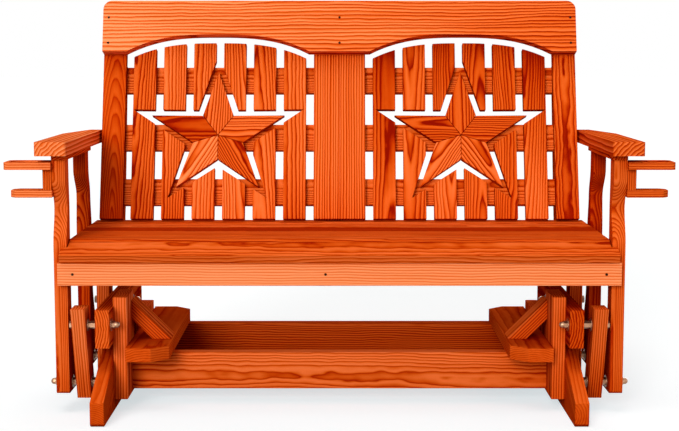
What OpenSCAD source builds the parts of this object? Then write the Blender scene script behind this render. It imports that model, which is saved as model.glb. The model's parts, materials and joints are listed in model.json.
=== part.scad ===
// Porch glider bench: a slatted two-seater with star panels in its back, hung by
// four swing links from a floor base. All sizes are in millimetres.
//
// Frame: X runs along the bench, -Y is its front and +Z is up. The origin is on
// the floor, at the middle of the base.

/* [Timber] */
// Thickness of the framing boards
board_t = 38; // [32:1:45]
// Thickness of the slats, rails and stars
slat_t = 25; // [20:1:30]
// Rounding of the shaped corners
corner_r = 8; // [3:1:14]

/* [Seat] */
// Clear width between the arm posts
seat_inner_w = 1490; // [1200:2:1700]
// Height of the seat's top face
seat_top_z = 482; // [460:1:520]
// Width of a level seat slat
seat_slat_w = 88; // [80:1:92]
// Gap between seat slats
seat_slat_gap = 6; // [3:1:8]
// How far the first level slat lies behind the posts' front
first_slat_back = 28; // [26:1:34]
// Width of the sloping front slat
front_slat_w = 72; // [60:1:80]
// Slope of the front slat, in degrees
front_slat_tilt = 22; // [12:1:28]
// Gap between the front slat's top corner and the first level slat
front_slat_gap = 4; // [3:0.5:6]
// How far that corner lies below the seat's top face
front_slat_drop = 7; // [4:0.5:10]
// Overhang of the front slat past the posts' inner faces
front_slat_overhang = 15; // [8:1:22]
// Clearance between the slat ends and the posts
slat_end_clear = 2; // [1:0.5:4]
// Height of the seat supports
support_h = 100; // [90:1:125]
// Height of the front apron
apron_h = 63; // [50:1:80]
// Gap between the apron and the front slat above it
apron_gap = 4; // [1:0.5:6]
// How far the apron's ends stop short of the posts' outer faces
apron_inset = 13; // [5:1:25]

/* [Back] */
// Clearance between the back and the arm posts
back_clear = 17; // [13:1:30]
// Recline of the back, in degrees
recline = 16.6; // [12:0.2:20]
// Height of the slats' lower ends above the seat, along the back
back_slat_v0 = 9; // [8:1:16]
// Height of the crest rail's lower edge above the seat, along the back
crest_v0 = 524.5; // [515:0.5:560]
// Height of the crest rail
crest_h = 162; // [140:1:180]
// Rise of the two arches cut into the crest rail
arch_rise = 54; // [40:0.5:60]
// Radius of the crest rail's top corners
crest_corner_r = 28; // [15:1:40]
// How far the arches stop short of the centre boards
arch_centre_margin = 14; // [5:1:20]
// How far the arches stop short of the stiles
arch_side_margin = 4; // [0:1:10]
// Gap between the arches and the slats under them
arch_gap = 16.5; // [12:0.5:34]
// Width of the outer stiles
stile_w = 70; // [60:1:80]
// Width of each of the two centre boards
centre_board_w = 79; // [70:1:85]
// Width of a back slat
back_slat_w = 69; // [60:1:72]
// Height of a horizontal back rail
rail_h = 81; // [70:1:90]
// How far the rails' ends stop short of the back's edges
rail_inset = 8; // [4:1:15]
// Height of the lower rail's centre above the seat, along the back
lower_rail_v = 97; // [80:1:105]
// Spacing of the three rails along the back
rail_pitch = 171; // [165:0.5:180]
// How much further the upper rail lies above the middle one
upper_rail_step = 11; // [0:1:20]
// Depth of a back upright
upright_d = 89; // [70:1:100]

/* [Star] */
// Half-width radius of a star
star_rx = 214; // [190:1:225]
// Half-height radius of a star
star_ry = 200; // [180:1:210]
// Inner radius of the star as a part of its outer radius
star_inner = 0.375; // [0.34:0.005:0.42]
// How far a star's centre lies outside the middle of its panel
star_out = 3.5; // [0:0.5:6]
// Height of the star's centre above the seat, along the back
star_h = 270; // [262:1:276]
// Gap between the star and the slats that are cut round it
star_gap = 18.5; // [12:0.5:22]
// Saw gap between the star's five pieces
star_kerf = 0.6; // [0.4:0.1:1.5]
// Reach of the cut past a star's legs, as a part of its reach past the other points
star_leg_reach = 0.7; // [0.6:0.05:1]

/* [Posts and arms] */
// Distance from the front pivots to the rear pivots under the seat
post_spacing = 352; // [330:1:370]
// Thickness of a post
post_t = 36; // [32:1:45]
// Distance from a post's front edge to its pivot
pivot_setback = 52; // [48:1:56]
// Height of the posts' lower ends above the floor
post_bottom_z = 56; // [52:1:60]
// Depth of a post's foot, front to back
foot_w = 112; // [100:1:125]
// Height at which the foot starts to narrow
foot_top_z = 120; // [110:5:150]
// Height at which the foot has narrowed to the leg
leg_low_z = 300; // [260:5:330]
// Depth of a post's leg and of its head
leg_w = 55; // [50:1:70]
// Height at which the leg starts to narrow to the waist
leg_top_z = 470; // [465:1:490]
// Depth of a post at its waist
waist_w = 32; // [28:1:45]
// Height of the waist
waist_z = 570; // [550:1:585]
// Height at which the head has its full depth
head_z = 652; // [635:1:670]
// How far the front post's waist lies behind its leg's front edge
front_waist_back = 25; // [10:1:30]
// How far the rear post's waist lies behind its leg's front edge
rear_waist_back = 9; // [5:1:20]
// How far the front post's head stands forward of its leg
front_head_step = 3; // [0:1:10]
// How far the rear post's head stands forward of its leg
rear_head_step = 37; // [20:1:45]
// Height of the arm's top face above the seat
arm_rise = 271; // [240:1:290]
// Width of an arm
arm_w = 87; // [75:1:95]
// Length of an arm
arm_l = 631; // [580:1:680]
// How far the arm reaches past the posts' inner faces, towards the sitter
arm_inboard = 10; // [8:1:15]
// How far the arm stands forward of the front post's leg
arm_front = 36; // [25:1:60]
// Width of the arm at its rear end
arm_tail_w = 42; // [35:1:60]
// Length of the arm's tapered rear part
arm_taper_l = 215; // [150:5:260]
// Thickness of the cleat between an arm and its posts
cleat_t = 12; // [10:1:20]
// How far the cleat reaches past the posts, to the front, to the rear and towards the sitter
cleat_over = 7; // [3:1:8]

/* [Cup holders] */
// Thickness of the two plates
plate_t = 20; // [15:1:22]
// Length of the upper plate, out from the post
cup_plate_l = 129; // [120:1:140]
// Depth of the upper plate, front to back
cup_plate_d = 95; // [92:1:105]
// How far the plates stand forward of the front post's leg
cup_forward = 20; // [15:1:25]
// Diameter of the cup hole
cup_hole_d = 76; // [70:1:80]
// Distance from the plate's outer end to the hole's centre
cup_hole_inset = 48; // [46:1:52]
// How far the upper plate's top face lies below the arm
cup_drop = 18; // [14:1:30]
// Length of the lower plate
cup_rest_l = 115; // [100:1:120]
// Depth of the lower plate
cup_rest_d = 62; // [50:1:80]
// Height of the space between the plates
cup_gap_h = 57; // [50:1:70]
// Length of the spacer block between the plates
spacer_l = 25; // [20:1:30]

/* [Base] */
// Gap between a post and its swing link
post_link_gap = 16; // [15:1:20]
// Gap between a swing link and the hanger
link_hanger_gap = 26; // [24:1:30]
// Height of the hangers and stretchers
hanger_h = 105; // [89:1:115]
// Height of the hanger's top face
hanger_top_z = 296; // [290:1:302]
// Distance from the base's middle to a hanger's front end
hanger_front = 365; // [360:1:400]
// How far the seat's lower pivots lie forward of the base's middle
seat_forward = 97; // [90:1:105]
// Length of the base on the floor
base_l = 950; // [880:5:1000]
// Width of a slanted leg board
leg_board_w = 184; // [165:1:190]
// Slope of the legs, in degrees
leg_slope = 24; // [20:0.5:27]
// Height of a leg's blunt nose
leg_nose_h = 66; // [50:1:80]
// Depth of an upright, front to back
base_upright_w = 140; // [120:1:150]
// Distance between the front faces of the front and rear uprights
base_upright_pitch = 446; // [435:1:460]
// Height of the uprights' lower ends above the floor
base_upright_z0 = 32; // [25:1:38]
// Height of the front uprights' upper ends
base_upright_z1 = 320; // [312:1:325]
// Height of the rear uprights' upper ends
rear_upright_z1 = 212; // [205:1:320]
// Height of the stretchers' lower edges
stretcher_z0 = 41; // [36:1:50]
// Distance from a stretcher's rear face to its upright's rear edge
stretcher_setback = 8; // [4:1:20]
// Width of a side shelf board
shelf_w = 116; // [100:1:140]
// How far a side shelf reaches past the uprights
shelf_overhang = 40; // [30:1:50]
// Chamfer on the inner corners of a side shelf
shelf_chamfer = 50; // [30:1:60]
// Width of a knee brace
brace_w = 89; // [80:1:95]
// Height of a brace's upper end
brace_top_z = 296; // [280:1:300]

/* [Linkage] */
// Height of the pivots under the seat
lower_pivot_z = 80; // [78:1:84]
// Height of the pivots on the hangers
upper_pivot_z = 250; // [244:1:254]
// How far the front hanger pivots stand outside the front seat pivots
front_splay = 55; // [40:1:60]
// How far the rear hanger pivots stand outside the rear seat pivots
rear_splay = 5; // [0:1:10]
// Width of a swing link
link_w = 68; // [60:1:80]
// Wood left below a link's lower pivot
link_foot = 43; // [38:1:46]
// Wood left above a link's upper pivot
link_head = 51; // [40:1:55]
// Bolt diameter
bolt_d = 12.7; // [12:0.1:13]
// Running clearance of a bolt in its bore, on the radius
bolt_clear = 0.05; // [0.03:0.01:0.1]
// Clearance of the rear seat bolts in their link bores, on the radius
open_pivot_clear = 2.6; // [2.4:0.1:3.5]
// Clearance between the faces of a link and the washers beside it
face_clear = 0.4; // [0.3:0.1:0.8]
// Outer diameter of a washer
washer_d = 35; // [32:0.5:36]
// Thickness of a washer
washer_t = 2.5; // [2:0.1:3]
// Width across the corners of a nut or a bolt head
hex_d = 22; // [20:0.5:24]
// Thickness of a bolt head
head_t = 8; // [7:0.5:8.5]
// Length of an acorn nut
acorn_l = 22; // [20:0.5:26]
// Clearance of a bolt in a nut or a washer, on the diameter
nut_clear = 0.2; // [0.1:0.1:0.5]
// Room beyond a bolt's end inside its acorn nut
acorn_room = 4; // [2:0.5:5]
// Diameter of a screw head
screw_d = 7; // [6:0.5:9]
// Height of a screw head above the wood
screw_t = 1; // [0.5:0.1:1.5]

/* [Hidden] */
$fn = 64;
level_slats = 5;
slat_fit = 0.5;
sides = ["left", "right"];

// Stain tones of the timber, and the zinc of the hardware
stain = "#d9600f";
stain_light = "#ee8a4a";
stain_dark = "#b5440a";
zinc = "#b9bcc0";

// Planes across the bench, measured from its middle to the left
post_in = seat_inner_w / 2;
post_out = post_in + post_t;
support_in = post_in - board_t;
link_out = post_in - post_link_gap;
link_in = link_out - board_t;
hanger_out = link_in - link_hanger_gap;
hanger_in = hanger_out - board_t;
base_upright_in = hanger_in - board_t;
back_w = 2 * (post_in - back_clear);

// The nuts fill the gaps beside a link, between its washers
nut_t = post_link_gap - face_clear - 2 * washer_t;
jam_nut_t = link_hanger_gap - post_link_gap;
acorn_flat = acorn_l - hex_d * 0.6;

// Front-to-back places of the seat
lower_front_y = -seat_forward - post_spacing / 2;
lower_rear_y = -seat_forward + post_spacing / 2;
upper_front_y = lower_front_y - front_splay;
upper_rear_y = lower_rear_y + rear_splay;
post_front_y = lower_front_y - pivot_setback;
rear_post_y = lower_rear_y - pivot_setback;
head_front_y = post_front_y - front_head_step;
head_rear_y = rear_post_y - rear_head_step + leg_w;
slat_bottom_z = seat_top_z - slat_t;
support_z0 = slat_bottom_z - support_h;
first_slat_y = post_front_y + first_slat_back;
seat_rear_y = first_slat_y + level_slats * seat_slat_w + (level_slats - 1) * seat_slat_gap;
front_slat_rear_y = first_slat_y - front_slat_gap;
front_slat_rear_z = seat_top_z - front_slat_drop;
back_foot_y = seat_rear_y - 2 * slat_t / cos(recline);

// Front-to-back places of the base
front_nose_y = -base_l / 2;
front_upright_y = -(base_upright_pitch + base_upright_w) / 2;
rear_upright_y = front_upright_y + base_upright_pitch;
stretcher_inset = base_upright_w - stretcher_setback - board_t;
stretcher_top_z = stretcher_z0 + hanger_h;
shelf_top_z = stretcher_top_z + board_t;
hanger_bottom_z = hanger_top_z - hanger_h;
arm_top_z = seat_top_z + arm_rise;
arm_bottom_z = arm_top_z - board_t;
post_top_z = arm_bottom_z - cleat_t;

// Layout of one back panel, from the stile to the centre boards
panel_out = back_w / 2 - stile_w;
panel_in = centre_board_w;
panel_x = (panel_out + panel_in) / 2;
panel_half = (panel_out - panel_in) / 2;
star_x = panel_x + star_out;
slats_per_panel = 6;
arch_x = (panel_out - arch_side_margin + panel_in + arch_centre_margin) / 2;
arch_half = (panel_out - arch_side_margin - panel_in - arch_centre_margin) / 2;
panel_slat_gap = (2 * panel_half - slats_per_panel * back_slat_w) / (slats_per_panel + 1);
star_edge = cos(72);
board_top_v = crest_v0 + crest_h - 2 * crest_corner_r;

// ---- Shared forms ----

// Geometry is drawn on the left; the right side is its mirror image.
module sided(side) {
    if (side == "left") children();
    else mirror([1, 0, 0]) children();
}

// A board with its outline in the Y-Z plane, between two distances left of the middle.
module side_board(x_out, x_in, outline) {
    translate([-x_out, 0, 0]) rotate([90, 0, 90]) linear_extrude(x_out - x_in) polygon(outline);
}

// A board with its outline in the X-Y plane, between two heights.
module flat_board(z0, z1, outline) {
    translate([0, 0, z0]) linear_extrude(z1 - z0) polygon(outline);
}

// The tilted frame of the back: X across, Y into the back, Z up along it.
module on_back() {
    translate([0, back_foot_y, seat_top_z]) rotate([-recline, 0, 0]) children();
}

// A board of the back with its outline in the plane of the back.
module back_board(depth0, depth1) {
    on_back() translate([0, depth1, 0]) rotate([90, 0, 0]) linear_extrude(depth1 - depth0) children();
}

// Points of an arc from angle a0 to a1.
function arc(cx, cy, r, a0, a1, steps = 6) =
    [for (i = [0:steps]) let (a = a0 + (a1 - a0) * i / steps) [cx + r * cos(a), cy + r * sin(a)]];

// Points of a smooth S from one side line to another, as [y, z] with z rising; its
// start is left out where another S ends there.
function s_bend(y0, z0, y1, z1, first = 0, steps = 9) =
    [for (i = [first:steps]) let (t = i / steps)
        [y0 + (y1 - y0) * (1 - cos(180 * t)) / 2, z0 + (z1 - z0) * t]];

function reversed(points) = [for (i = [len(points) - 1:-1:0]) points[i]];

// ---- Base ----

module hanger(side) {
    color(stain_dark) sided(side) difference() {
        side_board(hanger_out, hanger_in, [
            [-hanger_front, hanger_bottom_z], [rear_upright_y + base_upright_w, hanger_bottom_z],
            [rear_upright_y + base_upright_w, hanger_top_z], [-hanger_front, hanger_top_z]]);
        bolt_bore(upper_front_y, upper_pivot_z, hanger_out, hanger_in, bolt_clear);
        bolt_bore(upper_rear_y, upper_pivot_z, hanger_out, hanger_in, bolt_clear);
    }
}

// Outline of the front leg: a slanted board with a blunt nose, cut flat on the floor,
// level under the hanger and upright where it meets the rear leg.
function leg_outline() = let (
    run = tan(leg_slope),
    drop = leg_board_w / cos(leg_slope),
    heel_y = front_nose_y + (drop - leg_nose_h) / run,
    crown_y = front_nose_y + (hanger_bottom_z - leg_nose_h) / run
) [
    [front_nose_y, corner_r], [front_nose_y + corner_r, 0], [heel_y, 0],
    [0, -heel_y * run], [0, hanger_bottom_z],
    [crown_y, hanger_bottom_z], [front_nose_y, leg_nose_h]];

module leg(place, side) {
    color(stain_dark) sided(side) {
        if (place == "front") side_board(hanger_out, hanger_in, leg_outline());
        else mirror([0, 1, 0]) side_board(hanger_out, hanger_in, leg_outline());
    }
}

module base_upright(place, side) {
    y0 = place == "front" ? front_upright_y : rear_upright_y;
    z1 = place == "front" ? base_upright_z1 : rear_upright_z1;
    color(stain) sided(side) side_board(hanger_in, base_upright_in, [
        [y0, base_upright_z0], [y0 + base_upright_w, base_upright_z0],
        [y0 + base_upright_w, z1], [y0, z1]]);
}

module stretcher(place) {
    y0 = (place == "front" ? front_upright_y : rear_upright_y) + stretcher_inset;
    color(stain) translate([-base_upright_in, y0, stretcher_z0])
        cube([2 * base_upright_in, board_t, hanger_h]);
}

module side_shelf(side) {
    inner = base_upright_in - shelf_w;
    y0 = front_upright_y - shelf_overhang;
    y1 = rear_upright_y + base_upright_w + shelf_overhang;
    color(stain) sided(side) flat_board(stretcher_top_z, shelf_top_z, concat(
        [[-base_upright_in, y0]],
        arc(-inner - shelf_chamfer, y0 + corner_r, corner_r, -90, -45, 3),
        arc(-inner - corner_r, y0 + shelf_chamfer, corner_r, -45, 0, 3),
        arc(-inner - corner_r, y1 - shelf_chamfer, corner_r, 0, 45, 3),
        arc(-inner - shelf_chamfer, y1 - corner_r, corner_r, 45, 90, 3),
        [[-base_upright_in, y1]]));
}

// A board laid flat at 45 degrees, from the upright's inner face down to the shelf.
module knee_brace(side) {
    reach = brace_top_z - shelf_top_z;
    foot = board_t * sqrt(2);
    y0 = front_upright_y + stretcher_inset;
    color(stain_light) sided(side) translate([-base_upright_in, y0 + brace_w, 0]) rotate([90, 0, 0])
        linear_extrude(brace_w) polygon([
            [0, brace_top_z], [reach, shelf_top_z], [reach - foot, shelf_top_z], [0, brace_top_z - foot]]);
}

// ---- Links and their bolts ----

// A round hole across the bench.
module bolt_bore(y, z, x_out, x_in, clear) {
    translate([-x_out - 1, y, z]) rotate([0, 90, 0]) cylinder(d = bolt_d + 2 * clear, h = x_out - x_in + 2);
}

// A straight board that leans with its two pivots; its ends are cut level.
module swing_link(place, side) {
    lower_y = place == "front" ? lower_front_y : lower_rear_y;
    upper_y = place == "front" ? upper_front_y : upper_rear_y;
    lower_clear = place == "front" ? bolt_clear : open_pivot_clear;
    lean = (upper_y - lower_y) / (upper_pivot_z - lower_pivot_z);
    half = link_w / 2 * norm([1, lean]);
    foot_y = lower_y - lean * link_foot;
    head_y = upper_y + lean * link_head;
    foot_z = lower_pivot_z - link_foot;
    top_z = upper_pivot_z + link_head;
    color(stain_light) sided(side) difference() {
        side_board(link_out, link_in, [
            [foot_y - half, foot_z], [foot_y + half, foot_z],
            [head_y + half, top_z], [head_y - half, top_z]]);
        bolt_bore(lower_y, lower_pivot_z, link_out, link_in, lower_clear);
        bolt_bore(upper_y, upper_pivot_z, link_out, link_in, bolt_clear);
    }
}

// Hardware is drawn along +X from the given distance left of the middle.
module washer(x) {
    translate([-x, 0, 0]) rotate([0, 90, 0]) difference() {
        cylinder(d = washer_d, h = washer_t);
        translate([0, 0, -1]) cylinder(d = bolt_d + nut_clear, h = washer_t + 2);
    }
}

module nut(x, t) {
    translate([-x, 0, 0]) rotate([0, 90, 0]) difference() {
        cylinder(d = hex_d, h = t, $fn = 6);
        translate([0, 0, -1]) cylinder(d = bolt_d + nut_clear, h = t + 2);
    }
}

module bolt(x, l) {
    translate([-x, 0, 0]) rotate([0, 90, 0]) {
        translate([0, 0, -head_t]) cylinder(d = hex_d, h = head_t, $fn = 6);
        cylinder(d = bolt_d, h = l);
    }
}

// A closed nut: a hexagon with a dome, hollow over the bolt's end.
module acorn_nut(x) {
    dome = hex_d * 0.4;
    translate([-x, 0, 0]) rotate([0, 90, 0]) difference() {
        union() {
            cylinder(d = hex_d, h = acorn_flat, $fn = 6);
            cylinder(r = dome, h = acorn_l - dome);
            translate([0, 0, acorn_l - dome]) sphere(r = dome);
        }
        translate([0, 0, -1]) cylinder(d = bolt_d + nut_clear, h = 1 + acorn_flat + acorn_room);
    }
}

// Bolt through a link and the hanger: the link turns between two washers, and
// a lock nut and an acorn nut clamp the bolt to the hanger.
module upper_pivot() {
    head_x = link_out + face_clear + washer_t;
    nut_x = link_in - face_clear - washer_t;
    bolt(head_x, head_x - hanger_in + washer_t + acorn_flat);
    washer(head_x);
    washer(nut_x + washer_t);
    nut(nut_x, jam_nut_t);
    nut(nut_x - jam_nut_t, nut_t);
    washer(hanger_out + washer_t);
    washer(hanger_in);
    acorn_nut(hanger_in - washer_t);
}

// Bolt through a link and a post: the head is on the link's inner side, and a
// lock nut and an acorn nut clamp the bolt to the post.
module lower_pivot() {
    head_x = link_in - face_clear - washer_t;
    mirror([1, 0, 0]) {
        bolt(-head_x, post_out - head_x + washer_t + acorn_flat);
        washer(-head_x);
        washer(-(link_out + face_clear));
        nut(-(link_out + face_clear + washer_t), nut_t);
        washer(-(post_in - washer_t));
        washer(-post_out);
        acorn_nut(-post_out - washer_t);
    }
}

module upper_pivot_bolts() {
    color(zinc) for (side = sides) sided(side) for (y = [upper_front_y, upper_rear_y])
        translate([0, y, upper_pivot_z]) upper_pivot();
}

module lower_pivot_bolts() {
    color(zinc) for (side = sides) sided(side) for (y = [lower_front_y, lower_rear_y])
        translate([0, y, lower_pivot_z]) lower_pivot();
}

// ---- Seat frame ----

// A post has a wide foot, a straight leg, a narrow waist above the seat and a wider head.
module post(place, side) {
    pivot_y = place == "front" ? lower_front_y : lower_rear_y;
    leg_y = place == "front" ? post_front_y : rear_post_y;
    waist_y = leg_y + (place == "front" ? front_waist_back : rear_waist_back);
    head_y = leg_y - (place == "front" ? front_head_step : rear_head_step);
    front_edge = concat(
        s_bend(leg_y, leg_top_z, waist_y, waist_z),
        s_bend(waist_y, waist_z, head_y, head_z, 1));
    rear_edge = concat(
        s_bend(leg_y + foot_w, foot_top_z, leg_y + leg_w, leg_low_z),
        s_bend(leg_y + leg_w, leg_top_z, waist_y + waist_w, waist_z),
        s_bend(waist_y + waist_w, waist_z, head_y + leg_w, head_z, 1));
    color(stain) sided(side) difference() {
        side_board(post_out, post_in, concat(
            arc(leg_y + corner_r, post_bottom_z + corner_r, corner_r, 180, 270, 4),
            arc(leg_y + foot_w - corner_r, post_bottom_z + corner_r, corner_r, 270, 360, 4),
            rear_edge,
            [[head_y + leg_w, post_top_z], [head_y, post_top_z]],
            reversed(front_edge)));
        bolt_bore(pivot_y, lower_pivot_z, post_out, post_in, bolt_clear);
    }
}

// Lower face of the sloping front slat, as a height at a front-to-back place.
function front_slat_under_z(y) = let (
    rear_under_y = front_slat_rear_y + slat_t * sin(front_slat_tilt),
    rear_under_z = front_slat_rear_z - slat_t * cos(front_slat_tilt)
) rear_under_z + (y - rear_under_y) * tan(front_slat_tilt);

module seat_support(place) {
    rear_under_y = front_slat_rear_y + slat_t * sin(front_slat_tilt);
    tail_y = seat_rear_y + support_h * 0.55;
    outline = [
        [post_front_y, support_z0], [tail_y - support_h * tan(recline), support_z0],
        [tail_y, slat_bottom_z], [rear_under_y, slat_bottom_z],
        [rear_under_y, front_slat_under_z(rear_under_y)], [post_front_y, front_slat_under_z(post_front_y)]];
    color(stain) {
        if (place == "middle") side_board(board_t * 1.5, board_t / 2, outline);
        else sided(place) side_board(post_in, support_in, outline);
    }
}

// Level of the apron's top edge, just clear of the front slat.
apron_top_z = front_slat_under_z(post_front_y - slat_t) - apron_gap;

module front_apron() {
    half = post_out - apron_inset;
    color(stain_light) translate([-half, post_front_y - slat_t, apron_top_z - apron_h])
        cube([2 * half, slat_t, apron_h]);
}

// Slat 1 slopes down at the front: it is notched round the posts, and its rear edge
// is planed upright. The others lie level, and the last one's rear edge is planed to
// the lean of the back uprights.
module seat_slat(number) {
    if (number == 1) color(stain) difference() {
        half = post_in + front_slat_overhang;
        translate([0, front_slat_rear_y, front_slat_rear_z]) rotate([front_slat_tilt, 0, 0])
            translate([-half, -front_slat_w, -slat_t]) cube([2 * half, front_slat_w, slat_t]);
        translate([-half - 1, first_slat_y - slat_fit, support_z0])
            cube([2 * half + 2, leg_w, 2 * support_h]);
        for (side = sides) sided(side)
            translate([-half - 1, post_front_y - slat_end_clear, support_z0])
                cube([half + 1 - post_in + slat_end_clear, leg_w, 2 * support_h]);
    }
    else color(stain) difference() {
        half = post_in - slat_end_clear;
        translate([-half, first_slat_y + (number - 2) * (seat_slat_w + seat_slat_gap), slat_bottom_z])
            cube([2 * half, seat_slat_w, slat_t]);
        if (number == level_slats + 1) on_back()
            translate([-half - 1, 2 * slat_t - slat_fit, -2 * slat_t])
                cube([2 * half + 2, 2 * slat_t, 4 * slat_t]);
    }
}

// ---- Back ----

// Height of the arch above the crest's lower edge, at a distance from the bench's middle.
function arch_height(x) = arch_rise * (1 - pow(min(1, abs(x - arch_x) / arch_half), 2.8));

// Height of a rail's centre above the seat, along the back, for levels 0 to 2.
function rail_v(level) = lower_rail_v + level * rail_pitch + (level == 2 ? upper_rail_step : 0);

module back_upright(place) {
    foot_v = -(seat_top_z - support_z0) / cos(recline);
    head_v = rail_v(2) + rail_h / 2 + slat_t;
    taper = upright_d * 0.35;
    depth = 2 * slat_t;
    x_out = place == "middle" ? board_t / 2 : support_in;
    color(stain) sided(place == "right" ? "right" : "left") on_back() side_board(x_out, x_out - board_t, [
        [depth, foot_v], [depth + upright_d, foot_v + upright_d * tan(recline)],
        [depth + upright_d, lower_rail_v], [depth + upright_d - taper, head_v], [depth, head_v]]);
}

module back_rail(level) {
    half = back_w / 2 - rail_inset;
    color(stain_dark) back_board(slat_t, 2 * slat_t)
        translate([-half, rail_v(level) - rail_h / 2]) square([2 * half, rail_h]);
}

module crest_rail() {
    half = back_w / 2;
    top = crest_v0 + crest_h;
    steps = 20;
    arch = [for (i = [0:steps]) let (x = arch_x + arch_half * (2 * i / steps - 1))
        [x, crest_v0 + arch_height(x)]];
    color(stain_light) back_board(-board_t, 0) polygon(concat(
        [[-half, crest_v0]],
        [for (p = reversed(arch)) [-p[0], p[1]]],
        arch,
        [[half, crest_v0]],
        arc(half - crest_corner_r, top - crest_corner_r, crest_corner_r, 0, 90, 8),
        arc(-half + crest_corner_r, top - crest_corner_r, crest_corner_r, 90, 180, 8)));
}

module stile(side) {
    color(stain) sided(side) back_board(0, slat_t)
        translate([-back_w / 2, back_slat_v0]) square([stile_w, board_top_v - back_slat_v0]);
}

module centre_boards() {
    joint = 0.3;
    color(stain) for (side = sides) sided(side) back_board(0, slat_t)
        translate([-centre_board_w, back_slat_v0])
            square([centre_board_w - joint, board_top_v - back_slat_v0]);
}

// Points of a star that is grown outwards by a gap measured square to its edges.
// The legs, the two points that lean down, may reach less far.
function star_points(grow, leg_reach = 1) = [for (i = [0:9]) let (
    a = 90 + 36 * i,
    k = i % 2 == 0 ? 1 : star_inner,
    more = grow / star_edge * (i == 4 || i == 6 ? leg_reach : 1)
) [k * (star_rx + more) * cos(a), k * (star_ry + more) * sin(a)]];

// The slats of one panel: their tops follow the arch, and a larger star is cut out of them.
module back_slats(side) {
    color(stain) sided(side) back_board(0, slat_t) translate([-panel_x, 0]) difference() {
        for (i = [0:slats_per_panel - 1]) {
            x0 = -panel_half + panel_slat_gap + i * (back_slat_w + panel_slat_gap);
            top = crest_v0 - arch_gap;
            polygon(concat([[x0, back_slat_v0], [x0 + back_slat_w, back_slat_v0]],
                [for (j = [4:-1:0]) let (x = x0 + back_slat_w * j / 4) [x, top + arch_height(panel_x - x)]]));
        }
        translate([panel_x - star_x, star_h]) polygon(star_points(star_gap, star_leg_reach));
    }
}

// Five kite-shaped pieces, mitred to meet at the star's centre.
module star(side) {
    points = star_points(0);
    color(stain_light) sided(side) back_board(0, slat_t) translate([-star_x, star_h])
        for (i = [0:4]) {
            tip = points[2 * i];
            aside = tip / norm(tip) * star_kerf;
            translate(aside) polygon([[0, 0], points[(2 * i + 9) % 10], tip, points[(2 * i + 1) % 10]]);
        }
}

// ---- Arms and cup holders ----

// The arm's inner edge is straight; its front corners are rounded, and the outer
// edge tapers in at the rear.
module arm(side) {
    y0 = post_front_y - arm_front;
    inner = post_in - arm_inboard;
    outer = inner + arm_w;
    color(stain) sided(side) flat_board(arm_bottom_z, arm_top_z, concat(
        arc(-outer + corner_r, y0 + corner_r, corner_r, 180, 270, 4),
        arc(-inner - corner_r, y0 + corner_r, corner_r, 270, 360, 4),
        [[-inner, y0 + arm_l], [-inner - arm_tail_w, y0 + arm_l], [-outer, y0 + arm_l - arm_taper_l]]));
}

// A flat strip on the heads of both posts, which the arm is screwed down to.
module arm_cleat(side) {
    color(stain) sided(side) translate([-post_out, head_front_y - cleat_over, post_top_z])
        cube([post_t + cleat_over, head_rear_y - head_front_y + 2 * cleat_over, cleat_t]);
}

cup_front_y = post_front_y - cup_forward;
cup_plate_z = arm_bottom_z - cup_drop;
cup_rest_z = cup_plate_z - plate_t - cup_gap_h;

module cup_plate(side) {
    outer = post_out + cup_plate_l;
    r = 2 * corner_r;
    color(stain_light) sided(side) difference() {
        flat_board(cup_plate_z - plate_t, cup_plate_z, concat(
            [[-post_out, cup_front_y]],
            [[-post_out, cup_front_y + cup_plate_d]],
            arc(-outer + r, cup_front_y + cup_plate_d - r, r, 90, 180, 6),
            arc(-outer + r, cup_front_y + r, r, 180, 270, 6)));
        translate([-outer + cup_hole_inset, cup_front_y + cup_plate_d / 2, cup_plate_z - plate_t - 1])
            cylinder(d = cup_hole_d, h = plate_t + 2);
    }
}

module cup_rest(side) {
    outer = post_out + cup_rest_l;
    y0 = cup_front_y + (cup_plate_d - cup_rest_d) / 2;
    cut = 2 * corner_r;
    color(stain_light) sided(side) flat_board(cup_rest_z - plate_t, cup_rest_z, [
        [-post_out, y0], [-post_out, y0 + cup_rest_d], [-outer + cut, y0 + cup_rest_d],
        [-outer, y0 + cup_rest_d - cut], [-outer, y0 + cut], [-outer + cut, y0]]);
}

module cup_spacers() {
    y0 = cup_front_y + (cup_plate_d - cup_rest_d) / 2;
    color(stain) for (side = sides) sided(side) translate([-post_out - spacer_l, y0, cup_rest_z])
        cube([spacer_l, cup_rest_d, cup_gap_h]);
}

// ---- Screws ----

// Screw heads that show: two through the crest into each stile and the centre
// boards, and one through the apron into each support.
module screws() {
    crest_x = [-back_w / 2 + stile_w / 4, 0, back_w / 2 - stile_w / 4];
    support_x = [-(post_in + support_in) / 2, -board_t, (post_in + support_in) / 2];
    color(zinc) {
        for (x = crest_x, part = [1 / 6, 2 / 3]) on_back()
            translate([x, -board_t, crest_v0 + part * crest_h]) screw_head();
        for (x = support_x)
            translate([x, post_front_y - slat_t, apron_top_z - apron_h / 2]) screw_head();
    }
}

// A flat head standing on a face that looks forward.
module screw_head() {
    rotate([90, 0, 0]) cylinder(d = screw_d, h = screw_t);
}

// ---- Output ----

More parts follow.
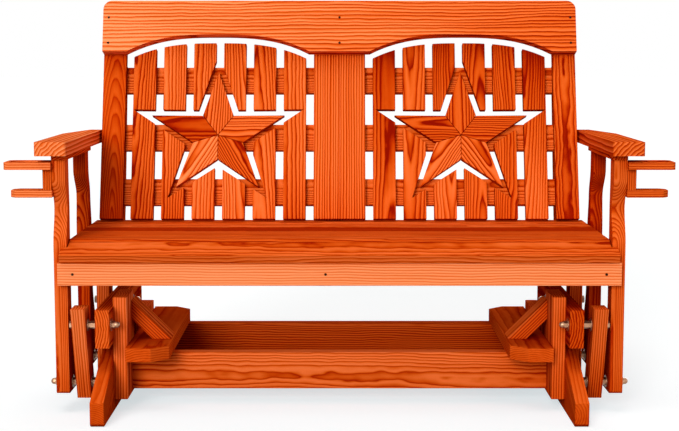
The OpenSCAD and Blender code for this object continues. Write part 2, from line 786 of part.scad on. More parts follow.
hanger("left");  // hanger_left
hanger("right");  // hanger_right
leg("front", "left");  // front_leg_left
leg("front", "right");  // front_leg_right
leg("rear", "left");  // rear_leg_left
leg("rear", "right");  // rear_leg_right
base_upright("front", "left");  // front_upright_left
base_upright("front", "right");  // front_upright_right
base_upright("rear", "left");  // rear_upright_left
base_upright("rear", "right");  // rear_upright_right
stretcher("front");  // front_stretcher
stretcher("rear");  // rear_stretcher
side_shelf("left");  // side_shelf_left
side_shelf("right");  // side_shelf_right
knee_brace("left");  // knee_brace_left
knee_brace("right");  // knee_brace_right
upper_pivot_bolts();
swing_link("front", "left");  // front_link_left
swing_link("front", "right");  // front_link_right
swing_link("rear", "left");  // rear_link_left
swing_link("rear", "right");  // rear_link_right
post("front", "left");  // front_post_left
post("front", "right");  // front_post_right
post("rear", "left");  // rear_post_left
post("rear", "right");  // rear_post_right
seat_support("left");  // seat_support_left
seat_support("middle");  // seat_support_middle
seat_support("right");  // seat_support_right
back_upright("left");  // back_upright_left
back_upright("middle");  // back_upright_middle
back_upright("right");  // back_upright_right
front_apron();
seat_slat(1);  // seat_slat_1
seat_slat(2);  // seat_slat_2
seat_slat(3);  // seat_slat_3
seat_slat(4);  // seat_slat_4
seat_slat(5);  // seat_slat_5
seat_slat(6);  // seat_slat_6
back_rail(0);  // back_rail_lower
back_rail(1);  // back_rail_middle
back_rail(2);  // back_rail_upper
crest_rail();
stile("left");  // stile_left
stile("right");  // stile_right
centre_boards();
back_slats("left");  // back_slats_left
back_slats("right");  // back_slats_right
star("left");  // star_left
star("right");  // star_right
arm("left");  // arm_left
arm("right");  // arm_right
arm_cleat("left");  // arm_cleat_left
arm_cleat("right");  // arm_cleat_right
cup_plate("left");  // cup_plate_left
cup_plate("right");  // cup_plate_right
cup_rest("left");  // cup_rest_left
cup_rest("right");  // cup_rest_right
cup_spacers();
lower_pivot_bolts();
screws();
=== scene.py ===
# %% [markdown]
# # Porch glider bench
# A slatted garden bench of stained softwood. It hangs on four short swing links from
# a base that stands on the floor. The frame brings every board at its real size and
# place. This script gives the boards eased edges, a stained grain and their hardware.

# %% Load the frame
import json
import math
import random

import bpy
from mathutils import Matrix, Vector


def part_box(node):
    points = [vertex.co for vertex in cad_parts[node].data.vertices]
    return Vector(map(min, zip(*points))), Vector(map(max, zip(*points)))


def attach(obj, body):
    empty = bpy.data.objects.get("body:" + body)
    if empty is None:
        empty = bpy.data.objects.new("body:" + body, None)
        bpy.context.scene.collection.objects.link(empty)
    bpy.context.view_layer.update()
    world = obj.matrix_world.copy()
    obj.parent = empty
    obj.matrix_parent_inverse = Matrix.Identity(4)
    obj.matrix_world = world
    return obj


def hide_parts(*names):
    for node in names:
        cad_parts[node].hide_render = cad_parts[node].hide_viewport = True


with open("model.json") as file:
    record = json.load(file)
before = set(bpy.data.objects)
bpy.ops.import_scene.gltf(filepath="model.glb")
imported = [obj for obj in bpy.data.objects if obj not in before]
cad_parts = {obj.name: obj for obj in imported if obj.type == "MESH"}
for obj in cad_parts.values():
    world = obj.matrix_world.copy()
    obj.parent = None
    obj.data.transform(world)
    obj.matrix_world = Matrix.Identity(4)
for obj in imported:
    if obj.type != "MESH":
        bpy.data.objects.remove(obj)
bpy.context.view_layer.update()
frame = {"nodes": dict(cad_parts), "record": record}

nodes = frame["nodes"]
bodies = frame["record"]["behaviour"]["bodies"]
body_of_node = {name: body for body, names in bodies.items() for name in names}

# %% [markdown]
# ## The view
# The camera stands in front of the bench, a little lower than the top of the back, and
# looks slightly down. It could stand close with a wide lens, but then the near boards
# would look too large. A long lens from further away keeps the bench's sides nearly
# parallel. Its lens and place are fixed numbers, so every render is the same.

# %% Camera
LENS_MM = 76.88
SENSOR_MM = 36.0
CAMERA_HEIGHT = 0.9973
CAMERA_Y = -4.2476
TILT_DOWN = 6.488

lens = bpy.data.cameras.new("front_camera")
lens.lens = LENS_MM
lens.sensor_width = SENSOR_MM
camera = bpy.data.objects.new("front_camera", lens)
bpy.context.scene.collection.objects.link(camera)
camera.location = (0.0, CAMERA_Y, CAMERA_HEIGHT)
camera.rotation_euler = (math.radians(90.0 - TILT_DOWN), 0.0, 0.0)
bpy.context.scene.camera = camera
bpy.context.scene.view_settings.view_transform = "Standard"
print("camera height", CAMERA_HEIGHT, "m")

# %% [markdown]
# ## Writing shader maths as expressions
# A procedural wood needs a good deal of arithmetic. Wiring Math nodes by hand is slow
# to read, so one small class wraps a socket: adding two wrapped sockets adds a Math
# node. Any other node comes from one method that takes its type, settings and inputs.


# %% A socket that does maths
class Wire:
    """One output socket of a material, with the operators that this script uses."""

    def __init__(self, tree, socket):
        self.tree = tree
        self.socket = socket

    def make(self, kind, settings=None, out=0, **inputs):
        """Adds a node, applies its settings, fills its inputs and returns one output.

        An input is given by its name, or by i and its number, as in i0.
        """
        node = self.tree.nodes.new(kind)
        for key, value in (settings or {}).items():
            setattr(node, key, value)
        for key, value in inputs.items():
            slot = node.inputs[int(key[1:]) if key[1:].isdigit() else key.replace("_", " ")]
            if isinstance(value, Wire):
                self.tree.links.new(value.socket, slot)
            else:
                slot.default_value = value
        return Wire(self.tree, node.outputs[out])

    def math(self, operation, *values):
        return self.make("ShaderNodeMath", {"operation": operation},
                         **{f"i{n}": value for n, value in enumerate(values)})

    def __add__(self, other):
        return self.math("ADD", self, other)

    def __sub__(self, other):
        return self.math("SUBTRACT", self, other)

    def __rsub__(self, other):
        return self.math("SUBTRACT", other, self)

    def __mul__(self, other):
        return self.math("MULTIPLY", self, other)

    def __truediv__(self, other):
        return self.math("DIVIDE", self, other)

    def __pow__(self, other):
        return self.math("POWER", self, other)

    def fract(self):
        return self.math("FRACT", self)

    def root(self):
        return self.math("SQRT", self)

    def at_least(self, other):
        return self.math("MAXIMUM", self, other)

    def vector(self, operation, other):
        """The result of a vector operation on this vector and another."""
        return self.make("ShaderNodeVectorMath", {"operation": operation}, i0=self, i1=other)

    def parts(self):
        """The X, Y and Z of a vector."""
        split = self.tree.nodes.new("ShaderNodeSeparateXYZ")
        self.tree.links.new(self.socket, split.inputs[0])
        return tuple(Wire(self.tree, output) for output in split.outputs)

    def noise(self, detail, scale=1.0):
        """A noise between about -1 and 1, read at this vector."""
        raw = self.make("ShaderNodeTexNoise", Vector=self, Scale=scale, Detail=detail,
                        Roughness=0.5)
        return (raw - 0.5) * 2.0

    def ramp(self, stops):
        """A smooth colour ramp through (position, colour) stops."""
        node = self.tree.nodes.new("ShaderNodeValToRGB")
        node.color_ramp.interpolation = "LINEAR"
        elements = node.color_ramp.elements
        while len(elements) < len(stops):
            elements.new(0.5)
        for element, (place, colour) in zip(elements, stops):
            element.position = place
            element.color = (*colour, 1.0)
        self.tree.links.new(self.socket, node.inputs["Fac"])
        return Wire(self.tree, node.outputs["Color"])


print("shader maths ready")

# %% [markdown]
# ## Stained softwood
# A board is cut out of a log, so its grain is not a picture on each face but rings
# that run through the whole board. A picture of wood could be laid on every face, but
# the faces would not meet at the edges and all boards would look alike. So the
# material works as a log does. It measures how far each point lies from the log's
# centre line and turns that distance into rings: pale early wood that darkens slowly
# and ends in a hard, dark late-wood line. Long edges then show stripes, wide faces
# show arches, and sawn ends show the rings. Noises that are stretched along the grain
# bend the rings and add streaks and pores.

# %% Stain colours
# The stain's colour from its palest, on soft early wood, to its deepest, in late wood and in
# the painted shade of corners and joints.
STAIN_AND_SHADE = [
    (0.00, (1.000, 0.347, 0.138)),
    (0.15, (1.000, 0.260, 0.080)),
    (0.30, (0.913, 0.178, 0.039)),
    (0.45, (0.791, 0.130, 0.016)),
    (0.60, (0.680, 0.088, 0.005)),
    (0.75, (0.560, 0.052, 0.0012)),
    (0.88, (0.420, 0.022, 0.0003)),
    (1.00, (0.260, 0.006, 0.0002)),
]
print("stain stops:", len(STAIN_AND_SHADE))

# %% Size and strength of the wood's figure
# The length and the width of each noise, in metres, along the grain and across it.
WANDER = (0.42, 0.12)
RIPPLE = (0.06, 0.03)
RING_DRIFT = (2.0, 0.02)
BROAD_STREAK = (0.5, 0.018)
PATCH = (0.9, 0.09)
PORE = (0.03, 0.0008)
# The ripple, and the wander at right angles to the face, as shares of the waver.
RIPPLE_SHARE = 0.2
BACK_SHARE = 0.6
# Each board reads the noises at a place of its own, up to this many metres away.
SHIFT = 9
# How far the rings' spacing drifts, in rings, and how fast late wood turns pale again.
DRIFT_RINGS = 0.45
FALL_POWER = 12.0
# How much patches and pores deepen the stain, and the mean darkness of a ring.
PATCH_DEPTH = 0.06
PORE_DEPTH = 0.035
RING_MEAN = 0.27
# Painted shade: within this distance of other boards the colour is pushed this much deeper,
# where shade falls.
PAINTED_SHADE_REACH = 0.20
PAINTED_SHADE_DEPTH = 0.42
PAINTED_SHADE_SAMPLES = 4
# Roughness of the surface, with its change in late wood and in pores.
ROUGHNESS = 0.62
LATE_ROUGHNESS = -0.07
PORE_ROUGHNESS = 0.05
# Relief of late wood and of pores, and the height that it stands for.
LATE_RELIEF = 0.7
PORE_RELIEF = 0.3
RELIEF_STRENGTH = 0.3
RELIEF_HEIGHT = 0.0005
print("rings drift by", DRIFT_RINGS, "of a ring")


# %% Year rings
def stretched(place, size):
    """The place, squeezed so that a noise on it has this length and width."""
    length, width = size
    return place.vector("MULTIPLY", (1.0 / length, 1.0 / width, 1.0 / width))


def year_rings(local, moved, ring, pith, waver, lean, crisp):
    """How dark each point of the log is, from 0 in early wood to 1 in late wood."""
    along, across, behind = local
    wander = stretched(moved, WANDER).noise(1.0) * waver
    ripple = stretched(moved, RIPPLE).noise(1.0) * (waver * RIPPLE_SHARE)
    side = across + pith[0] + wander + along * lean[0]
    back = behind + pith[1] + wander * BACK_SHARE + along * lean[1]
    radius = (side * side + back * back).root() + ripple
    rings = radius / ring + stretched(moved, RING_DRIFT).noise(1.0) * DRIFT_RINGS
    year = rings.fract()
    late = year ** crisp
    fall = (1.0 - year) ** FALL_POWER
    return late.at_least(fall)


print("rings ready")


# %% The wood material
def stained_wood(name, centre, turn, seed, depth, ring, pith, waver, lean,
                 contrast=0.6, fade=0.0, crisp=3.0, streak=0.10):
    """Wood whose grain runs along local X after the board is centred and turned.

    depth is the stain's mean depth on the scale above. ring is the width of a year
    ring. pith is how far the log's centre line lies from the board, across it and
    behind it, lean how much it slants along the board, and waver how far it wanders.
    fade deepens the stain towards the end of the board, per metre. Shade is also
    painted into the colour: it is deeper in corners and joints, where other boards
    shut out light. A lower crisp makes the dark late wood take up more of each ring,
    and streak is the strength of the long, broad streaks. The finish is matte, so it
    has no gloss.
    """
    material = bpy.data.materials.new(name)
    material.use_nodes = True
    tree = material.node_tree
    shader = tree.nodes["Principled BSDF"]
    chance = random.Random(seed)

    place = Wire(tree, tree.nodes.new("ShaderNodeTexCoord").outputs["Object"])
    centred = place.vector("SUBTRACT", tuple(centre))
    turned = place.make("ShaderNodeMapping", {"vector_type": "POINT"}, Vector=centred,
                        Rotation=tuple(turn))
    moved = turned.vector("ADD", tuple(chance.uniform(-SHIFT, SHIFT) for _ in range(3)))
    local = turned.parts()

    dark = year_rings(local, moved, ring, pith, waver, lean, crisp)
    broad = stretched(moved, BROAD_STREAK).noise(2.0)
    patch = stretched(moved, PATCH).noise(1.0)
    pores = stretched(moved, PORE).noise(2.0)
    shade = (dark * contrast + broad * streak + patch * PATCH_DEPTH + pores * PORE_DEPTH
             + (depth - contrast * RING_MEAN))
    if fade:
        shade = shade + local[0] * fade
    # Painted shade: the stain is darkened wherever other boards are near.
    open_air = place.make("ShaderNodeAmbientOcclusion", {"samples": PAINTED_SHADE_SAMPLES}, out=1,
                          Distance=PAINTED_SHADE_REACH)
    shade = shade + (1.0 - open_air) * PAINTED_SHADE_DEPTH
    tree.links.new(shade.ramp(STAIN_AND_SHADE).socket, shader.inputs["Base Color"])

    rough = dark * LATE_ROUGHNESS + pores * PORE_ROUGHNESS + ROUGHNESS
    tree.links.new(rough.socket, shader.inputs["Roughness"])
    relief = dark * LATE_RELIEF + pores * PORE_RELIEF
    bump = relief.make("ShaderNodeBump", Strength=RELIEF_STRENGTH, Distance=RELIEF_HEIGHT,
                       Height=relief)
    tree.links.new(bump.socket, shader.inputs["Normal"])
    shader.inputs["Specular IOR Level"].default_value = 0.0
    return material


print("wood material ready")

# %% [markdown]
# ## Boards with eased edges
# Dressed timber never has a knife edge: its long edges are rounded by about two
# millimetres, and each edge catches a thin line of light. The boards could be modelled
# again with round edges, but the frame already has them in exact sizes, only sharp and
# made of loose triangles. So each is copied, its triangles are merged into flat faces,
# and a small bevel rounds its edges. A node that holds several boards is first parted,
# so that every board gets its own grain.

# %% Copy and part a node
MERGE_REACH = 0.00001
FLAT_ANGLE = math.radians(0.5)


def only(piece):
    """Selects just this object and makes it the active one."""
    for each in bpy.context.selected_objects:
        each.select_set(False)
    piece.select_set(True)
    bpy.context.view_layer.objects.active = piece


def merged_copy(node):
    """A copy of a node's mesh with its triangles merged into whole faces."""
    source = nodes[node]
    piece = source.copy()
    piece.data = source.data.copy()
    for key in list(piece.keys()):
        if key.startswith("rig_"):
            del piece[key]
    piece.parent = None
    bpy.context.scene.collection.objects.link(piece)
    only(piece)
    bpy.ops.object.mode_set(mode="EDIT")
    bpy.ops.mesh.select_all(action="SELECT")
    bpy.ops.mesh.remove_doubles(threshold=MERGE_REACH)
    bpy.ops.mesh.dissolve_limited(angle_limit=FLAT_ANGLE)
    bpy.ops.object.mode_set(mode="OBJECT")
    return piece


def middle(piece):
    """The middle of a piece's box."""
    corners = [vertex.co for vertex in piece.data.vertices]
    low = Vector([min(co[axis] for co in corners) for axis in range(3)])
    high = Vector([max(co[axis] for co in corners) for axis in range(3)])
    return (low + high) / 2


def parted(piece):
    """The loose boards of a piece, from left to right."""
    only(piece)
    bpy.ops.object.mode_set(mode="EDIT")
    bpy.ops.mesh.select_all(action="SELECT")
    bpy.ops.mesh.separate(type="LOOSE")
    bpy.ops.object.mode_set(mode="OBJECT")
    return sorted(bpy.context.selected_objects, key=lambda each: tuple(middle(each)))


print("merging faces within", math.degrees(FLAT_ANGLE), "degrees")

# %% Ease the edges of a board
EASE = 0.0018
EASE_STEPS = 2
SHARP_ANGLE = math.radians(32.0)
# How much more a large face counts than a small one where they share a normal.
FACE_WEIGHT = 100
# Distances from a board's side between which a cut may leave only a thin neck.
NECK = (0.0004, 0.004)


def weigh_edges(mesh):
    """Marks the selected edges for the bevel, but not those at a thin neck."""
    sides = [vertex.co.x for vertex in mesh.vertices]
    left, right = min(sides), max(sides)

    def at_neck(index):
        inset = min(sides[index] - left, right - sides[index])
        return NECK[0] < inset < NECK[1]

    weights = mesh.attributes.new("bevel_weight_edge", "FLOAT", "EDGE")
    for edge in mesh.edges:
        spared = any(at_neck(index) for index in edge.vertices)
        weights.data[edge.index].value = 1.0 if edge.select and not spared else 0.0


def ease(piece):
    """Rounds the sharp edges of a piece and keeps its faces flat."""
    only(piece)
    bpy.ops.object.mode_set(mode="EDIT")
    bpy.ops.mesh.select_mode(type="EDGE")
    bpy.ops.mesh.select_all(action="DESELECT")
    bpy.ops.mesh.edges_select_sharp(sharpness=SHARP_ANGLE)
    bpy.ops.object.mode_set(mode="OBJECT")
    weigh_edges(piece.data)
    bevel = piece.modifiers.new("eased_edges", "BEVEL")
    bevel.width = EASE
    bevel.segments = EASE_STEPS
    bevel.limit_method = "WEIGHT"
    bevel.use_clamp_overlap = True
    bpy.ops.object.modifier_apply(modifier=bevel.name)
    bpy.ops.object.shade_smooth_by_angle(angle=SHARP_ANGLE)
    level = piece.modifiers.new("flat_faces", "WEIGHTED_NORMAL")
    level.keep_sharp = True
    level.weight = FACE_WEIGHT
    bpy.ops.object.modifier_apply(modifier=level.name)


print("easing", EASE * 1000, "mm")

# %% Close the joint between two boards
JOINT_REACH = 0.003


def close_joint(boards):
    """Brings the facing sides of two boards together on the bench's middle plane."""
    for board in boards:
        for vertex in board.data.vertices:
            if abs(vertex.co.x) < JOINT_REACH:
                vertex.co.x = 0.0


print("closing joints within", JOINT_REACH * 1000, "mm")

# %% [markdown]
# ## Which way the grain runs
# A joiner saws every board so that the grain follows its length, because wood is
# strong only that way. The wood material lays its grain along local X, so every board
# gets a turn that brings its length there. Its face, the wide side that is seen, is
# turned to local Z, so that arches show on faces and stripes on edges. Each board
# could be turned by hand, but two directions are easier to read than three angles.

# %% Turns for each lie of a board
RECLINE = math.radians(16.6)
LEG_SLOPE = math.radians(24.0)
ACROSS = (1, 0, 0)
DEEPWAYS = (0, 1, 0)
UPRIGHT = (0, 0, 1)
UP_BACK = (0, math.sin(RECLINE), math.cos(RECLINE))
BACK_FACE = (0, -math.cos(RECLINE), math.sin(RECLINE))
LEG_FORWARD = (0, -math.cos(LEG_SLOPE), -math.sin(LEG_SLOPE))
LEG_BACKWARD = (0, math.cos(LEG_SLOPE), -math.sin(LEG_SLOPE))


def turn_for(length, face):
    """Euler angles that bring the length to local X and the face to local Z."""
    x = Vector(length).normalized()
    z = Vector(face)
    z = (z - x * z.dot(x)).normalized()
    y = z.cross(x)
    return Matrix((x, y, z)).to_euler("XYZ")


print("back reclines by", math.degrees(RECLINE), "degrees")

# %% [markdown]
# ## Which log each board comes from
# Where a board lay in its log sets its figure. An edge-sawn board lies far beside the
# centre line and shows straight stripes. A long board shows wide, wavering lines, and
# a face-sawn one lies close to the centre and shows arches. The numbers of every board
# could be set by hand, but nobody would notice. So they are drawn within a range for
# each kind, from a seed that gives the same board every time.

# %% Logs for three kinds of board
# Ring width, waver and log centre are ranges in metres, and lean is a range of slopes,
# across the board and behind it. A single number is used as it is.
LOGS = {
    "edge": {"ring": (0.0058, 0.0074), "waver": (0.003, 0.006),
             "pith": ((-0.02, 0.02), (0.10, 0.22)), "lean": (0.0, (-0.01, 0.01))},
    "long": {"ring": (0.0065, 0.0085), "waver": (0.012, 0.020),
             "pith": ((-0.07, 0.07), (0.02, 0.06)),
             "lean": ((-0.010, 0.010), (-0.012, 0.012))},
    "face": {"ring": (0.0050, 0.0078), "waver": (0.006, 0.012),
             "pith": ((-0.055, 0.055), (0.012, 0.04)),
             "lean": ((-0.03, 0.03), (-0.05, 0.05))},
}


def drawn(chance, span):
    """A number from a range, or the number itself where it is a single one."""
    return chance.uniform(*span) if isinstance(span, tuple) else span


def ringed(chance, kind):
    """Ring width, waver, log centre and lean for a board of one kind."""
    log = LOGS[kind]
    return {
        "ring": drawn(chance, log["ring"]),
        "waver": drawn(chance, log["waver"]),
        "pith": tuple(drawn(chance, span) for span in log["pith"]),
        "lean": tuple(drawn(chance, span) for span in log["lean"]),
    }


print("kinds of board:", *LOGS)

# %% [markdown]
# ## Dressing a node
# Every timber node goes through the same steps: copy it, part it into boards, give
# each board its own wood, ease its edges and put it on its body. They could be written
# out for each node, but one function keeps all boards alike, and each call then says
# only how the board lies and how deep its stain is.

# %% Dress one node
SEED_STEP = 31
SIDES = ("left", "right")
dressed = []


def column_of(spot, low, high, columns):
    """The number of the column that a spot is in, and the X of the column's middle."""
    width = high.x - low.x
    number = min(columns - 1, int((spot.x - low.x) / width * columns))
    return number, low.x + (number + 0.5) * width / columns


def dress(node, length, face, depth, kind="face", columns=0, joined=False, **look):
    """Replaces a timber node by its boards, with eased edges and their own grain.

    length and face are the directions of the grain and of the wide side. depth is
    the stain's depth, one number or a list from left to right. Boards that stand in
    the same one of several columns were one board once, and share their grain. fade
    may be a list too. joined closes the joint between two boards.
    """
    whole = merged_copy(node)
    heart = middle(whole)
    low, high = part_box(node)
    several = isinstance(depth, list)
    boards = parted(whole) if several else [whole]
    if joined:
        close_joint(boards)
    for index, board in enumerate(boards):
        name = f"{node}_board_{index + 1}"
        board.name = name
        board.data.name = name
        number, spot = index, middle(board)
        if columns:
            number, x = column_of(spot, low, high, columns)
            spot = Vector((x, heart.y, heart.z))
        seed = len(dressed) * SEED_STEP + number
        settings = ringed(random.Random(seed), kind)
        settings.update(look)
        if isinstance(settings.get("fade"), list):
            settings["fade"] = settings["fade"][number]
        way = middle(board) - heart if length == "outward" else length
        tone = depth[number] if several else depth
        wood = stained_wood(name, spot, turn_for(way, face), seed, depth=tone, **settings)
        board.data.materials.clear()
        board.data.materials.append(wood)
        ease(board)
        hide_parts(node)
        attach(board, body_of_node[node])
    dressed.append(node)


print("ready to dress nodes")

# %% [markdown]
# ## The base
# Slanted leg boards stand on the floor and carry a hanger on each side. Uprights on
# the hangers' inner faces hold two long stretchers, and flat shelf boards with knee
# braces square the corners. One wood for the whole base would be quicker, but real
# boards differ from each other, so each has its own stain depth. The hangers and the
# rear stretcher are also deeper for painted shade, as they lie in shade under the seat.
# The base's right side is coloured deeper than its left.

# %% Base boards
# Painted shade: the hangers' depths are partly deepened for the shade under the seat.
HANGER_STAIN_AND_SHADE = {"left": 0.57, "right": 0.80}
UPRIGHT_STAIN = {"left": 0.28, "right": 0.38}
INWARD = {"left": 1, "right": -1}
for side in SIDES:
    dress(f"hanger_{side}", DEEPWAYS, ACROSS, HANGER_STAIN_AND_SHADE[side], "edge")
    dress(f"front_leg_{side}", LEG_FORWARD, ACROSS, depth=0.54, contrast=0.25)
    dress(f"rear_leg_{side}", LEG_BACKWARD, ACROSS, depth=0.7)
    for place in ("front", "rear"):
        dress(f"{place}_upright_{side}", UPRIGHT, DEEPWAYS, UPRIGHT_STAIN[side], "edge",
              pith=(0.2, 0.03), contrast=0.55)
    dress(f"side_shelf_{side}", DEEPWAYS, UPRIGHT, depth=0.6, kind="edge", contrast=0.3)
    dress(f"knee_brace_{side}", (INWARD[side], 0, -1), (INWARD[side], 0, 1), depth=0.5,
          kind="edge")
dress("front_stretcher", ACROSS, DEEPWAYS, depth=0.37, kind="long", contrast=0.6)
# The rear stretcher's deeper stain is partly painted shade, from the seat above it.
dress("rear_stretcher", ACROSS, DEEPWAYS, depth=0.61, kind="long")
print("nodes dressed with the base:", len(dressed))

# %% [markdown]
# ## Links and seat frame
# The swing links and the arm posts are sawn from wide boards. The posts' curved edges
# cut across the grain, so their bends show slanting stripes. That could be drawn on
# the bends alone, but it comes by itself: the log runs straight up through the post
# and lies close beside it, and the saw cuts through its rings.

# %% Links, posts and supports
LINK_SLANT = {"front": -0.31, "rear": 0.03}
LINK_STAIN = {"left": 0.33, "right": 0.48}
# The rear posts are deeper partly as painted shade: they stand in the shadow of the front
# posts and arms.
POST_STAIN_AND_SHADE = {("front", "left"): 0.45, ("front", "right"): 0.53,
              ("rear", "left"): 0.74, ("rear", "right"): 0.86}
for side in SIDES:
    for place in ("front", "rear"):
        dress(f"{place}_link_{side}", (0, LINK_SLANT[place], 1), DEEPWAYS, LINK_STAIN[side],
              "edge", pith=(0.15, 0.02))
        dress(f"{place}_post_{side}", UPRIGHT, DEEPWAYS, POST_STAIN_AND_SHADE[place, side], "edge",
              pith=(0.016, 0.07), ring=0.0046, contrast=0.5)
for place in ("left", "middle", "right"):
    dress(f"seat_support_{place}", DEEPWAYS, ACROSS, depth=0.75)
    dress(f"back_upright_{place}", UP_BACK, ACROSS, depth=0.7)
print("nodes dressed with the frame:", len(dressed))

# %% [markdown]
# ## The seat
# Six long slats lie across the seat, and an apron closes its front. The apron is the
# palest board of the bench, and the fourth slat the deepest. A single wide board with
# painted gaps would look flat from the side, so every slat is a board of its own with
# its own stain.

# %% Seat boards
SLAT_STAIN = (0.50, 0.54, 0.58, 0.88, 0.46, 0.44)
dress("front_apron", ACROSS, DEEPWAYS, depth=0.10, kind="long", contrast=0.5, ring=0.0075,
      pith=(0.10, 0.03), waver=0.010, streak=0.14)
for number, tone in enumerate(SLAT_STAIN, 1):
    dress(f"seat_slat_{number}", ACROSS, UPRIGHT, tone, "long", contrast=0.55, streak=0.17)
print("nodes dressed with the seat:", len(dressed))

# %% [markdown]
# ## The back
# Stiles, slats and centre boards run up the back, and three rails and the crest run
# across it. A star-shaped cut parts some slats into an upper and a lower piece. Each
# piece could have its own grain, but both come from one slat, so they share it and the
# lines go on below the cut. The two centre boards are clamped tight, so that no light
# shows between them.

# %% Rails and crest
for level in ("lower", "middle", "upper"):
    dress(f"back_rail_{level}", ACROSS, BACK_FACE, depth=0.29, kind="long", ring=0.005)
dress("crest_rail", ACROSS, BACK_FACE, depth=0.34, kind="long", ring=0.0105,
      pith=(0.12, 0.02), contrast=0.8, crisp=2.4, waver=0.013, streak=0.2, fade=0.26)
print("nodes dressed with the rails:", len(dressed))

# %% Stiles, slats and centre boards
LEFT_STAIN = [0.61, 0.51, 0.46, 0.45, 0.52, 0.49]
LEFT_FADE = [-0.1, -0.3, 0.3, 0.4, 0.3, -0.2]
RIGHT_STAIN = [0.70, 0.54, 0.60, 0.63, 0.66, 0.65]
RIGHT_FADE = [0.8, 0.1, 0.8, 0.4, 0.3, 1.2]
dress("stile_left", UP_BACK, BACK_FACE, depth=0.66, contrast=0.3, ring=0.0058,
      pith=(0.004, 0.022), lean=(0.0, 0.10), crisp=2.0)
dress("stile_right", UP_BACK, BACK_FACE, depth=0.58, contrast=0.6, ring=0.0058,
      pith=(0.004, 0.014), waver=0.016, lean=(0.0, 0.0), crisp=2.0)
dress("back_slats_left", UP_BACK, BACK_FACE, LEFT_STAIN, columns=len(LEFT_STAIN),
      contrast=0.7, streak=0.15, fade=LEFT_FADE)
dress("back_slats_right", UP_BACK, BACK_FACE, RIGHT_STAIN, columns=len(RIGHT_STAIN),
      streak=0.15, fade=RIGHT_FADE)
dress("centre_boards", UP_BACK, BACK_FACE, depth=[0.42, 0.41], kind="edge", joined=True,
      pith=(0.14, 0.02), ring=0.0078, contrast=0.7, crisp=2.0)
print("nodes dressed with the back:", len(dressed))

# %% [markdown]
# ## The stars
# Each star is five mitred kites that meet in its middle. Cut from one board, it would
# have the same grain in all its points. The joiner turns each kite so that its grain
# runs out along its point, and light then falls differently on each. Here the grain
# takes the direction from the star's middle to the kite's middle.

# %% Stars
# The kites' depths differ partly as separate boards do and partly as painted sheen, the
# light that falls differently on each grain direction.
dress("star_left", "outward", BACK_FACE, depth=[0.86, 0.32, 0.52, 0.66, 0.52], contrast=0.8)
dress("star_right", "outward", BACK_FACE, depth=[0.74, 0.48, 0.70, 0.53, 0.72], contrast=0.8)
print("nodes dressed with the stars:", len(dressed))

# %% [markdown]
# ## Arms and cup holders
# The arms are thick boards whose sawn ends face forward, with wide rings that cross
# the end as slanting stripes. The stripes could be painted on the end, but a log whose
# centre lies below and beside the arm gives them, and runs on along the top. Outside
# each arm a plate with a hole and a rest below it hold a cup.

# %% Arm and cup boards
ARM_STAIN = {"left": 0.16, "right": 0.41}
CUP_STAIN = {"left": 0.30, "right": 0.59}
for side in SIDES:
    dress(f"arm_{side}", DEEPWAYS, UPRIGHT, ARM_STAIN[side], "edge", ring=0.0096, crisp=1.3,
          pith=(0.11, 0.11), contrast=0.72)
    dress(f"arm_cleat_{side}", DEEPWAYS, UPRIGHT, depth=0.7)
    dress(f"cup_plate_{side}", ACROSS, UPRIGHT, CUP_STAIN[side], "edge")
    dress(f"cup_rest_{side}", ACROSS, UPRIGHT, CUP_STAIN[side], "edge")
dress("cup_spacers", UPRIGHT, ACROSS, depth=[0.6, 0.6], kind="edge")
print("nodes dressed with the arms:", len(dressed))

# %% [markdown]
# ## Hardware
# Bolts, washers and nuts are zinc plated: a warm, dull metal with fine mottling in the
# polish. Screw heads are dark and hardly shine. Their shapes are already right in the
# frame, with round heads and domed nuts, so they keep them and only get a material. A
# flat grey would be simpler, but a noise in the tint and the polish breaks up the
# highlights, as plating does.

# %% Zinc and dark steel
ZINC = (0.40, 0.22, 0.13)
DARK_STEEL = (0.035, 0.012, 0.006)
MOTTLE_SCALE = 420.0
MOTTLE_DETAIL = 3.0
MOTTLE_POLISH = 0.08
# The darkest and the lightest tint, as shares of the metal's colour.
MOTTLE_TINTS = (0.8, 1.15)


def tinted(colour, strength):
    """The colour darkened (below 1) or lightened (above 1)."""
    return tuple(min(1.0, channel * strength) for channel in colour)


def plated(name, colour, rough, metallic, shine):
    """A mottled metal. shine is how much it mirrors where it isn't metallic."""
    material = bpy.data.materials.new(name)
    material.use_nodes = True
    tree = material.node_tree
    shader = tree.nodes["Principled BSDF"]
    place = Wire(tree, tree.nodes.new("ShaderNodeTexCoord").outputs["Object"])
    mottle = place.noise(MOTTLE_DETAIL, MOTTLE_SCALE)
    darker, lighter = (tinted(colour, strength) for strength in MOTTLE_TINTS)
    share = mottle * 0.5 + 0.5
    tint = share.ramp([(0.0, darker), (1.0, lighter)])
    tree.links.new(tint.socket, shader.inputs["Base Color"])
    polish = mottle * MOTTLE_POLISH + rough
    tree.links.new(polish.socket, shader.inputs["Roughness"])
    shader.inputs["Metallic"].default_value = metallic
    shader.inputs["Specular IOR Level"].default_value = shine
    return material


zinc = plated("zinc", ZINC, rough=0.36, metallic=1.0, shine=0.5)
dark_steel = plated("dark_steel", DARK_STEEL, rough=0.6, metallic=0.0, shine=0.05)
metals = {"upper_pivot_bolts": zinc, "lower_pivot_bolts": zinc, "screws": dark_steel}
for node, metal in metals.items():
    nodes[node].data.materials.clear()
    nodes[node].data.materials.append(metal)
print("metal nodes:", *metals)

# %% [markdown]
# ## The floor
# The floor is one plain white sweep that runs into a white backdrop. It could be lit
# until it is white, but so much light would bleach the bench. Instead it glows a
# little where the eye sees it, just enough to be white in the open, while the bench
# still draws a soft shadow under itself. Light that bounces off it meets plain grey.

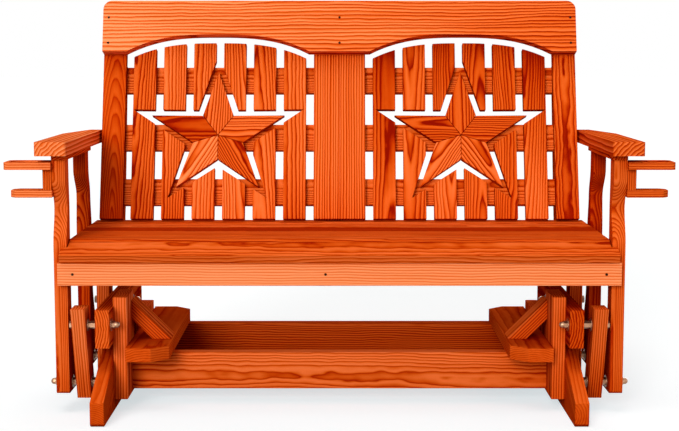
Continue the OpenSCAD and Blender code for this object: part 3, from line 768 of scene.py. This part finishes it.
# %% Floor
FLOOR_SIZE = 60.0
FLOOR_Y = 20.0
FLOOR_ROUGHNESS = 0.95
BLACK = (0.0, 0.0, 0.0)
GREY_BOUNCED = (0.22, 0.22, 0.22)
GREY_SEEN = (0.5, 0.5, 0.5)
FLOOR_GLOW = (0.575, 0.64, 0.66)


def seen_directly(tree):
    """1 for rays that the eye sees, straight or in metal, and 0 for light that bounces."""
    path = tree.nodes.new("ShaderNodeLightPath")
    straight = Wire(tree, path.outputs["Is Camera Ray"])
    mirrored = Wire(tree, path.outputs["Is Glossy Ray"])
    through = Wire(tree, path.outputs["Is Transmission Ray"])
    return straight.at_least(mirrored).at_least(through)


bpy.ops.object.select_all(action="DESELECT")
bpy.ops.mesh.primitive_plane_add(size=FLOOR_SIZE, location=(0.0, FLOOR_Y, 0.0))
floor = bpy.context.active_object
floor.name = "floor"
paint = bpy.data.materials.new("floor_paint")
paint.use_nodes = True
tree = paint.node_tree
shader = tree.nodes["Principled BSDF"]
seen = seen_directly(tree)
grey = seen.ramp([(0.0, GREY_BOUNCED), (1.0, GREY_SEEN)])
glow = seen.ramp([(0.0, BLACK), (1.0, FLOOR_GLOW)])
tree.links.new(grey.socket, shader.inputs["Base Color"])
tree.links.new(glow.socket, shader.inputs["Emission Color"])
shader.inputs["Emission Strength"].default_value = 1.0
shader.inputs["Roughness"].default_value = FLOOR_ROUGHNESS
shader.inputs["Specular IOR Level"].default_value = 0.0
floor.data.materials.append(paint)
print("floor", FLOOR_SIZE, "m wide")

# %% [markdown]
# ## The light
# A studio lights such a bench from all around, with one main lamp from the front left.
# Small lamps nearby would light one end more than the other, so the lamps here are
# suns, wide enough for soft shadows. Weaker ones from above, from the front, from the
# side and from behind keep every face readable. The sky's own light is warm, as it
# comes back from the stained wood all around.

# %% World
AMBIENT = (0.27, 0.17, 0.13)
WHITE = (1.0, 1.0, 1.0)

world = bpy.data.worlds.new("studio")
bpy.context.scene.world = world
world.use_nodes = True
tree = world.node_tree
sky = tree.nodes["Background"]
tone = seen_directly(tree).ramp([(0.0, AMBIENT), (1.0, WHITE)])
tree.links.new(tone.socket, sky.inputs["Color"])
print("ambient light", AMBIENT)

# %% Lamps
# Each lamp's name, the way it shines, its width in degrees and its strength.
LAMPS = [
    ("key_light", (0.30, 1.0, -0.40), 24.0, 1.8),
    ("top_light", (0.20, 0.25, -1.0), 30.0, 0.9),
    ("front_light", (0.15, 1.0, -0.04), 20.0, 0.8),
    ("side_light", (-1.0, 0.15, -0.20), 30.0, 0.5),
    ("back_light", (-0.25, -1.0, -0.16), 40.0, 2.2),
]
LAMP_HEIGHT = 3.0


def sun(name, toward, width, strength):
    """A far, wide lamp that lights the whole bench evenly from one side."""
    light = bpy.data.lights.new(name, "SUN")
    light.angle = math.radians(width)
    light.energy = strength
    holder = bpy.data.objects.new(name, light)
    bpy.context.scene.collection.objects.link(holder)
    holder.rotation_euler = Vector(toward).to_track_quat("-Z", "Y").to_euler()
    holder.location = (0.0, 0.0, LAMP_HEIGHT)


for lamp in LAMPS:
    sun(*lamp)
print("lamps:", len(LAMPS))
